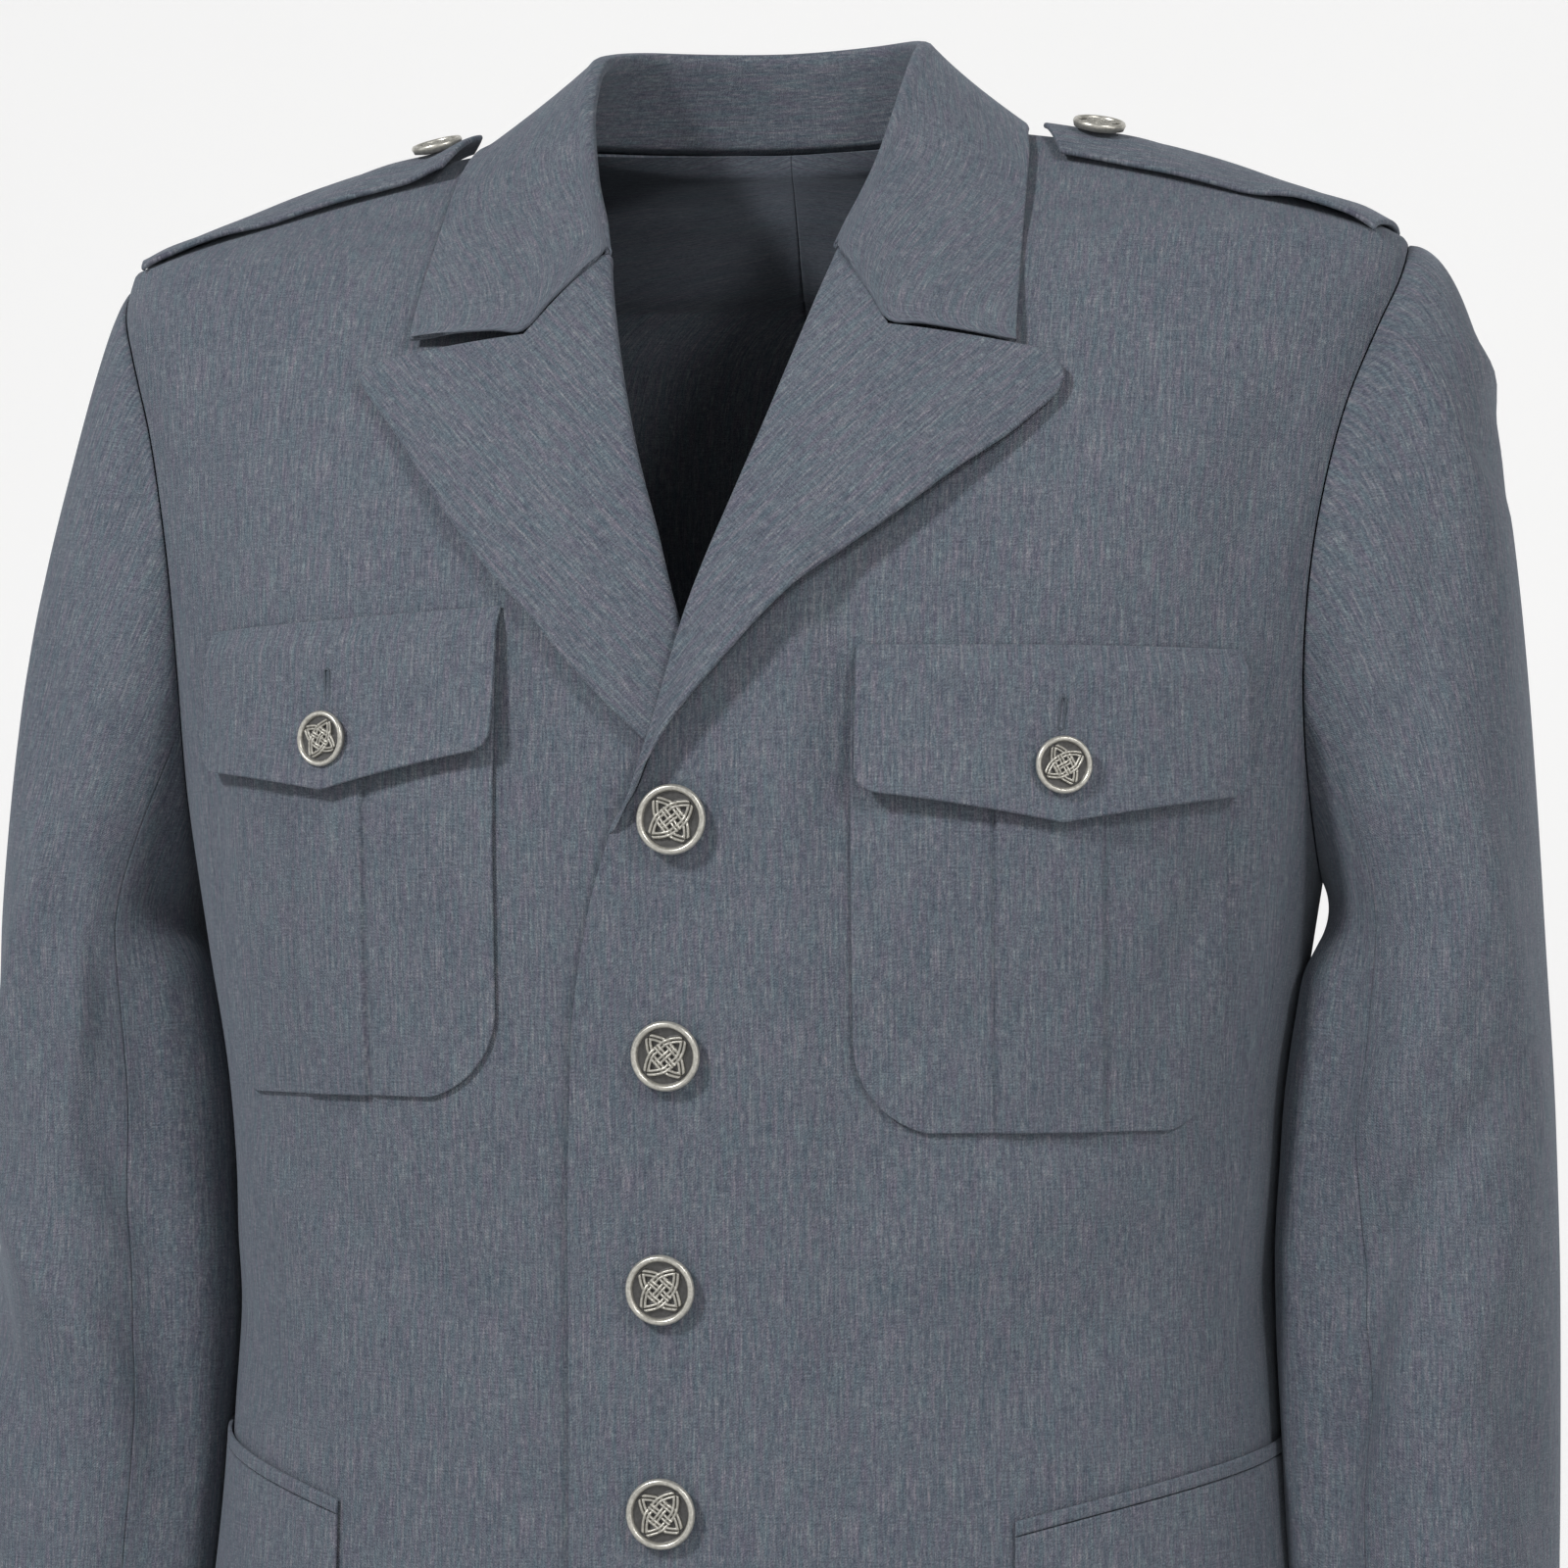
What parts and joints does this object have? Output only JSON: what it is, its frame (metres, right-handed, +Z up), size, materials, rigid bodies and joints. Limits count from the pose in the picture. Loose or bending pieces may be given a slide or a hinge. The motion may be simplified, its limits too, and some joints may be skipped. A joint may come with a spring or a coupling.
{
  "type": "uniform jacket",
  "caption": "Single-breasted army dress uniform jacket in worn shape, open at neck, hem and cuffs, with notched lapels, patch breast pockets, flapped skirt pockets and shoulder straps.",
  "frame": {"origin": "the middle of the base of the neck, level with the neck ends of the shoulder seams, where the jacket hangs from what wears it", "axes": "+Z up, -Y forward, +X towards the wearer's left"},
  "size_m": [0.586, 0.2872, 0.7888],
  "materials": {
    "blue_grey_suiting": "heathered twill suiting, matt with a faint sheen",
    "antique_pewter": "darkened silver-coloured metal with a polished rim"
  },
  "bodies": {
    "root": {"back_left": "blue_grey_suiting", "back_right": "blue_grey_suiting", "breast_flap_left": "blue_grey_suiting", "breast_flap_right": "blue_grey_suiting", "breast_pocket_left": "blue_grey_suiting", "breast_pocket_right": "blue_grey_suiting", "collar": "blue_grey_suiting", "flap_button_left": "antique_pewter", "flap_button_right": "antique_pewter", "front_button_1": "antique_pewter", "front_button_2": "antique_pewter", "front_button_3": "antique_pewter", "front_button_4": "antique_pewter", "front_left": "blue_grey_suiting", "front_right": "blue_grey_suiting", "lapel_left": "blue_grey_suiting", "lapel_right": "blue_grey_suiting", "side_left": "blue_grey_suiting", "side_right": "blue_grey_suiting", "skirt_pocket_band_left": "blue_grey_suiting", "skirt_pocket_band_right": "blue_grey_suiting", "skirt_pocket_flap_left": "blue_grey_suiting", "skirt_pocket_flap_right": "blue_grey_suiting", "sleeve_top_left": "blue_grey_suiting", "sleeve_top_right": "blue_grey_suiting", "sleeve_under_left": "blue_grey_suiting", "sleeve_under_right": "blue_grey_suiting", "strap_button_left": "antique_pewter", "strap_button_right": "antique_pewter", "strap_left": "blue_grey_suiting", "strap_right": "blue_grey_suiting"}
  },
  "joints": []
}
